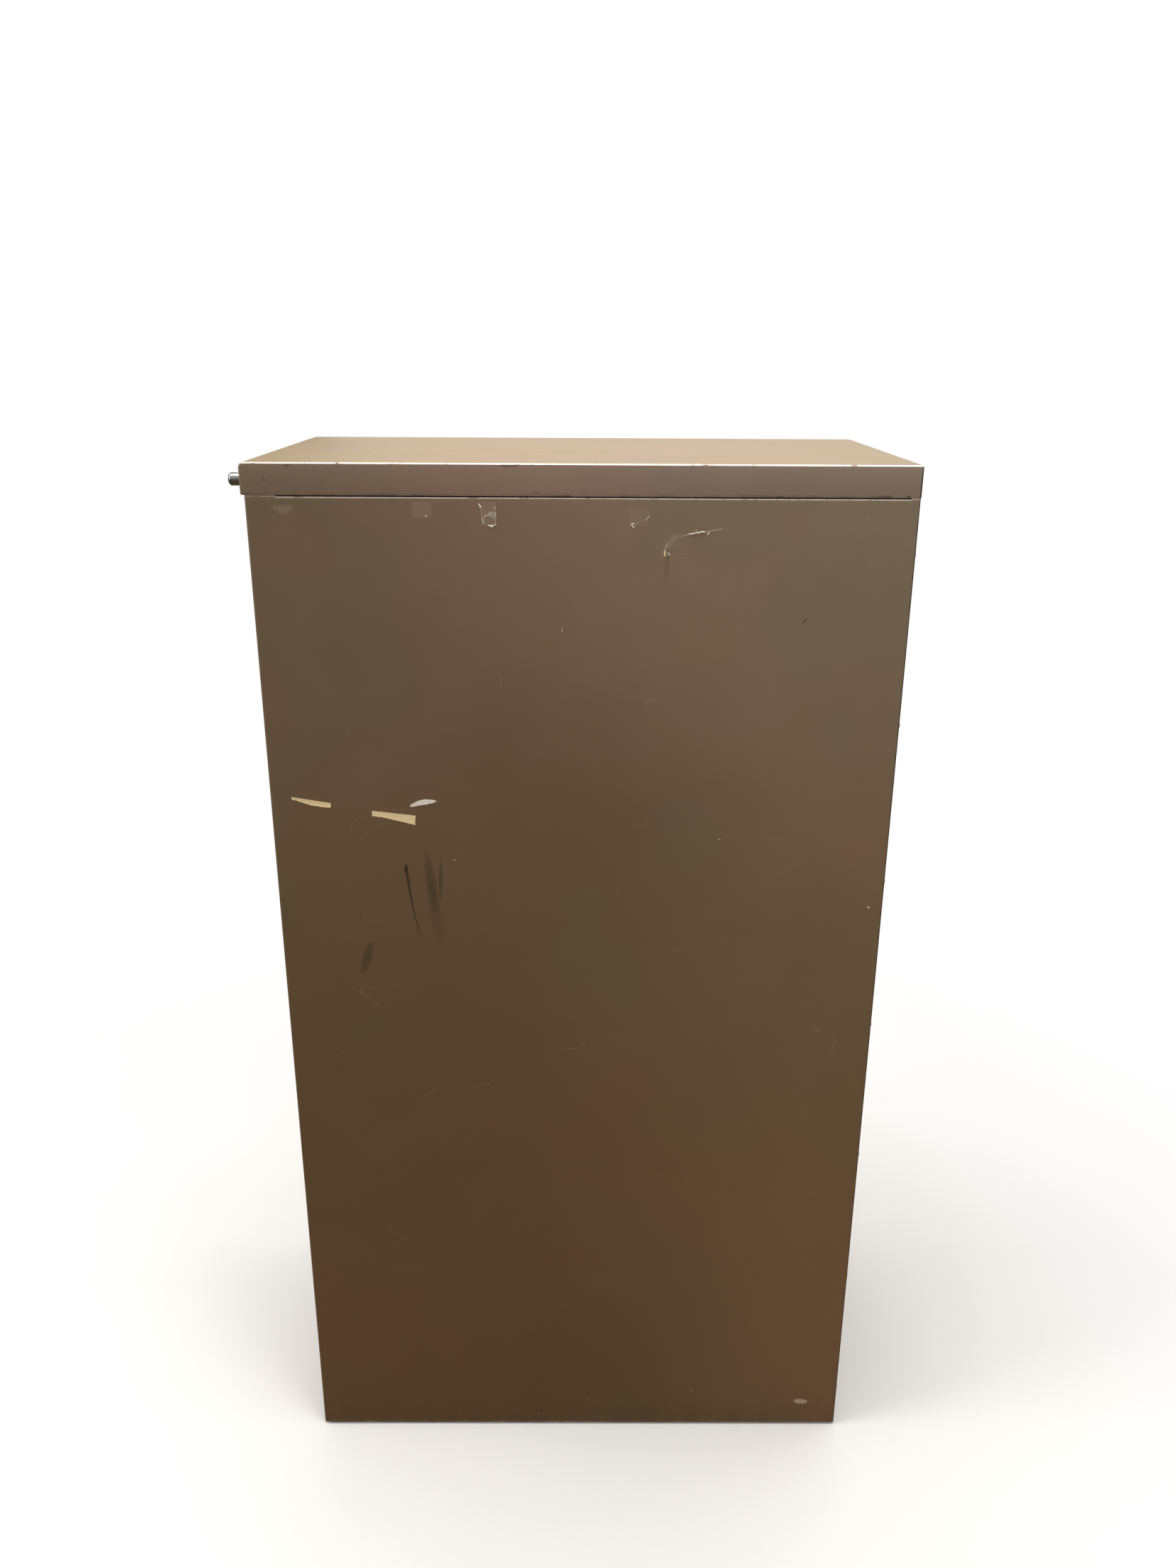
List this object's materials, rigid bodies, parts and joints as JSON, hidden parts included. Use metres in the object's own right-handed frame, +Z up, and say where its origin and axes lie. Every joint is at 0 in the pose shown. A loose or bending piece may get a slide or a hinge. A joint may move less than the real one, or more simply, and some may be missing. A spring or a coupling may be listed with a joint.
{
  "type": "microfiche cabinet",
  "caption": "Tall narrow steel cabinet with stacked drawers on telescoping slides for rows of microfiche, sliding followers and a push-in plunger lock that bars all the drawers.",
  "frame": {"origin": "on the floor, at the middle of the cabinet's bounding box", "axes": "+Z up, the drawers' fronts face -Y, +X is the right-hand side seen from the front"},
  "size_m": [0.381, 0.742, 1.322],
  "materials": {
    "case_paint": "semi-gloss taupe enamel with fine orange peel",
    "front_paint": "semi-gloss taupe enamel with fine orange peel",
    "tray_paint": "satin taupe enamel",
    "pull_metal": "satin chrome plate",
    "zinc_steel": "bright zinc plate with a film of grease",
    "follower_steel": "zinc plated sheet",
    "lock_chrome": "polished chrome with fine scratches",
    "glide_steel": "plain zinc plate, scuffed below"
  },
  "bodies": {
    "case": {"side_panel_right": "case_paint", "side_panel_left": "case_paint", "top_cap": "case_paint", "back_panel": "case_paint", "base_pan": "case_paint", "levelling_glides": "glide_steel", "slide_uprights": "case_paint", "case_slides": "zinc_steel", "lock_housing": "lock_chrome", "lock_bar_guides": "zinc_steel"},
    "lock_plunger": {"lock_plunger": "lock_chrome"},
    "lock_bar": {"lock_bar": "zinc_steel"},
    "drawer_1": {"drawer_front_1": "front_paint", "drawer_tray_1": "tray_paint", "drawer_pull_1": "pull_metal"},
    "slides_1": {"middle_slides_1": "zinc_steel"},
    "follower_left_1": {"follower_left_1": "follower_steel"},
    "follower_right_1": {"follower_right_1": "follower_steel"},
    "drawer_2": {"drawer_front_2": "front_paint", "drawer_tray_2": "tray_paint", "drawer_pull_2": "pull_metal"},
    "slides_2": {"middle_slides_2": "zinc_steel"},
    "follower_left_2": {"follower_left_2": "follower_steel"},
    "follower_right_2": {"follower_right_2": "follower_steel"},
    "drawer_3": {"drawer_front_3": "front_paint", "drawer_tray_3": "tray_paint", "drawer_pull_3": "pull_metal"},
    "slides_3": {"middle_slides_3": "zinc_steel"},
    "follower_left_3": {"follower_left_3": "follower_steel"},
    "follower_right_3": {"follower_right_3": "follower_steel"},
    "drawer_4": {"drawer_front_4": "front_paint", "drawer_tray_4": "tray_paint", "drawer_pull_4": "pull_metal"},
    "slides_4": {"middle_slides_4": "zinc_steel"},
    "follower_left_4": {"follower_left_4": "follower_steel"},
    "follower_right_4": {"follower_right_4": "follower_steel"},
    "drawer_5": {"drawer_front_5": "front_paint", "drawer_tray_5": "tray_paint", "drawer_pull_5": "pull_metal"},
    "slides_5": {"middle_slides_5": "zinc_steel"},
    "follower_left_5": {"follower_left_5": "follower_steel"},
    "follower_right_5": {"follower_right_5": "follower_steel"},
    "drawer_6": {"drawer_front_6": "front_paint", "drawer_tray_6": "tray_paint", "drawer_pull_6": "pull_metal"},
    "slides_6": {"middle_slides_6": "zinc_steel"},
    "follower_left_6": {"follower_left_6": "follower_steel"},
    "follower_right_6": {"follower_right_6": "follower_steel"},
    "drawer_7": {"drawer_front_7": "front_paint", "drawer_tray_7": "tray_paint", "drawer_pull_7": "pull_metal"},
    "slides_7": {"middle_slides_7": "zinc_steel"},
    "follower_left_7": {"follower_left_7": "follower_steel"},
    "follower_right_7": {"follower_right_7": "follower_steel"},
    "drawer_8": {"drawer_front_8": "front_paint", "drawer_tray_8": "tray_paint", "drawer_pull_8": "pull_metal"},
    "slides_8": {"middle_slides_8": "zinc_steel"},
    "follower_left_8": {"follower_left_8": "follower_steel"},
    "follower_right_8": {"follower_right_8": "follower_steel"}
  },
  "joints": [
    {"name": "drawer_slide_1", "type": "slide", "parent": "case", "child": "drawer_1", "axis": [0, -1, 0], "range_m": [0, 0.618]},
    {"name": "middle_slide_1", "type": "slide", "parent": "case", "child": "slides_1", "axis": [0, -1, 0], "range_m": [0, 0.309]},
    {"name": "follower_left_slide_1", "type": "slide", "parent": "drawer_1", "child": "follower_left_1", "axis": [0, -1, 0], "range_m": [0, 0.47]},
    {"name": "follower_right_slide_1", "type": "slide", "parent": "drawer_1", "child": "follower_right_1", "axis": [0, -1, 0], "range_m": [0, 0.47]},
    {"name": "drawer_slide_2", "type": "slide", "parent": "case", "child": "drawer_2", "axis": [0, -1, 0], "range_m": [0, 0.618]},
    {"name": "middle_slide_2", "type": "slide", "parent": "case", "child": "slides_2", "axis": [0, -1, 0], "range_m": [0, 0.309]},
    {"name": "follower_left_slide_2", "type": "slide", "parent": "drawer_2", "child": "follower_left_2", "axis": [0, -1, 0], "range_m": [0, 0.47]},
    {"name": "follower_right_slide_2", "type": "slide", "parent": "drawer_2", "child": "follower_right_2", "axis": [0, -1, 0], "range_m": [0, 0.47]},
    {"name": "drawer_slide_3", "type": "slide", "parent": "case", "child": "drawer_3", "axis": [0, -1, 0], "range_m": [0, 0.618]},
    {"name": "middle_slide_3", "type": "slide", "parent": "case", "child": "slides_3", "axis": [0, -1, 0], "range_m": [0, 0.309]},
    {"name": "follower_left_slide_3", "type": "slide", "parent": "drawer_3", "child": "follower_left_3", "axis": [0, -1, 0], "range_m": [0, 0.47]},
    {"name": "follower_right_slide_3", "type": "slide", "parent": "drawer_3", "child": "follower_right_3", "axis": [0, -1, 0], "range_m": [0, 0.47]},
    {"name": "drawer_slide_4", "type": "slide", "parent": "case", "child": "drawer_4", "axis": [0, -1, 0], "range_m": [0, 0.618]},
    {"name": "middle_slide_4", "type": "slide", "parent": "case", "child": "slides_4", "axis": [0, -1, 0], "range_m": [0, 0.309]},
    {"name": "follower_left_slide_4", "type": "slide", "parent": "drawer_4", "child": "follower_left_4", "axis": [0, -1, 0], "range_m": [0, 0.47]},
    {"name": "follower_right_slide_4", "type": "slide", "parent": "drawer_4", "child": "follower_right_4", "axis": [0, -1, 0], "range_m": [0, 0.47]},
    {"name": "drawer_slide_5", "type": "slide", "parent": "case", "child": "drawer_5", "axis": [0, -1, 0], "range_m": [0, 0.618]},
    {"name": "middle_slide_5", "type": "slide", "parent": "case", "child": "slides_5", "axis": [0, -1, 0], "range_m": [0, 0.309]},
    {"name": "follower_left_slide_5", "type": "slide", "parent": "drawer_5", "child": "follower_left_5", "axis": [0, -1, 0], "range_m": [0, 0.47]},
    {"name": "follower_right_slide_5", "type": "slide", "parent": "drawer_5", "child": "follower_right_5", "axis": [0, -1, 0], "range_m": [0, 0.47]},
    {"name": "drawer_slide_6", "type": "slide", "parent": "case", "child": "drawer_6", "axis": [0, -1, 0], "range_m": [0, 0.618]},
    {"name": "middle_slide_6", "type": "slide", "parent": "case", "child": "slides_6", "axis": [0, -1, 0], "range_m": [0, 0.309]},
    {"name": "follower_left_slide_6", "type": "slide", "parent": "drawer_6", "child": "follower_left_6", "axis": [0, -1, 0], "range_m": [0, 0.47]},
    {"name": "follower_right_slide_6", "type": "slide", "parent": "drawer_6", "child": "follower_right_6", "axis": [0, -1, 0], "range_m": [0, 0.47]},
    {"name": "drawer_slide_7", "type": "slide", "parent": "case", "child": "drawer_7", "axis": [0, -1, 0], "range_m": [0, 0.618]},
    {"name": "middle_slide_7", "type": "slide", "parent": "case", "child": "slides_7", "axis": [0, -1, 0], "range_m": [0, 0.309]},
    {"name": "follower_left_slide_7", "type": "slide", "parent": "drawer_7", "child": "follower_left_7", "axis": [0, -1, 0], "range_m": [0, 0.47]},
    {"name": "follower_right_slide_7", "type": "slide", "parent": "drawer_7", "child": "follower_right_7", "axis": [0, -1, 0], "range_m": [0, 0.47]},
    {"name": "drawer_slide_8", "type": "slide", "parent": "case", "child": "drawer_8", "axis": [0, -1, 0], "range_m": [0, 0.618]},
    {"name": "middle_slide_8", "type": "slide", "parent": "case", "child": "slides_8", "axis": [0, -1, 0], "range_m": [0, 0.309]},
    {"name": "follower_left_slide_8", "type": "slide", "parent": "drawer_8", "child": "follower_left_8", "axis": [0, -1, 0], "range_m": [0, 0.47]},
    {"name": "follower_right_slide_8", "type": "slide", "parent": "drawer_8", "child": "follower_right_8", "axis": [0, -1, 0], "range_m": [0, 0.47]},
    {"name": "lock_plunger_push", "type": "slide", "parent": "case", "child": "lock_plunger", "axis": [0, 1, 0], "range_m": [0, 0.012]},
    {"name": "lock_bar_lift", "type": "slide", "parent": "case", "child": "lock_bar", "axis": [0, 0, 1], "range_m": [0, 0.012]}
  ],
  "couplings": [
    {"joint": "middle_slide_1", "follows": "drawer_slide_1", "ratio": 0.5},
    {"joint": "middle_slide_2", "follows": "drawer_slide_2", "ratio": 0.5},
    {"joint": "middle_slide_3", "follows": "drawer_slide_3", "ratio": 0.5},
    {"joint": "middle_slide_4", "follows": "drawer_slide_4", "ratio": 0.5},
    {"joint": "middle_slide_5", "follows": "drawer_slide_5", "ratio": 0.5},
    {"joint": "middle_slide_6", "follows": "drawer_slide_6", "ratio": 0.5},
    {"joint": "middle_slide_7", "follows": "drawer_slide_7", "ratio": 0.5},
    {"joint": "middle_slide_8", "follows": "drawer_slide_8", "ratio": 0.5},
    {"joint": "lock_bar_lift", "follows": "lock_plunger_push", "ratio": 1}
  ]
}
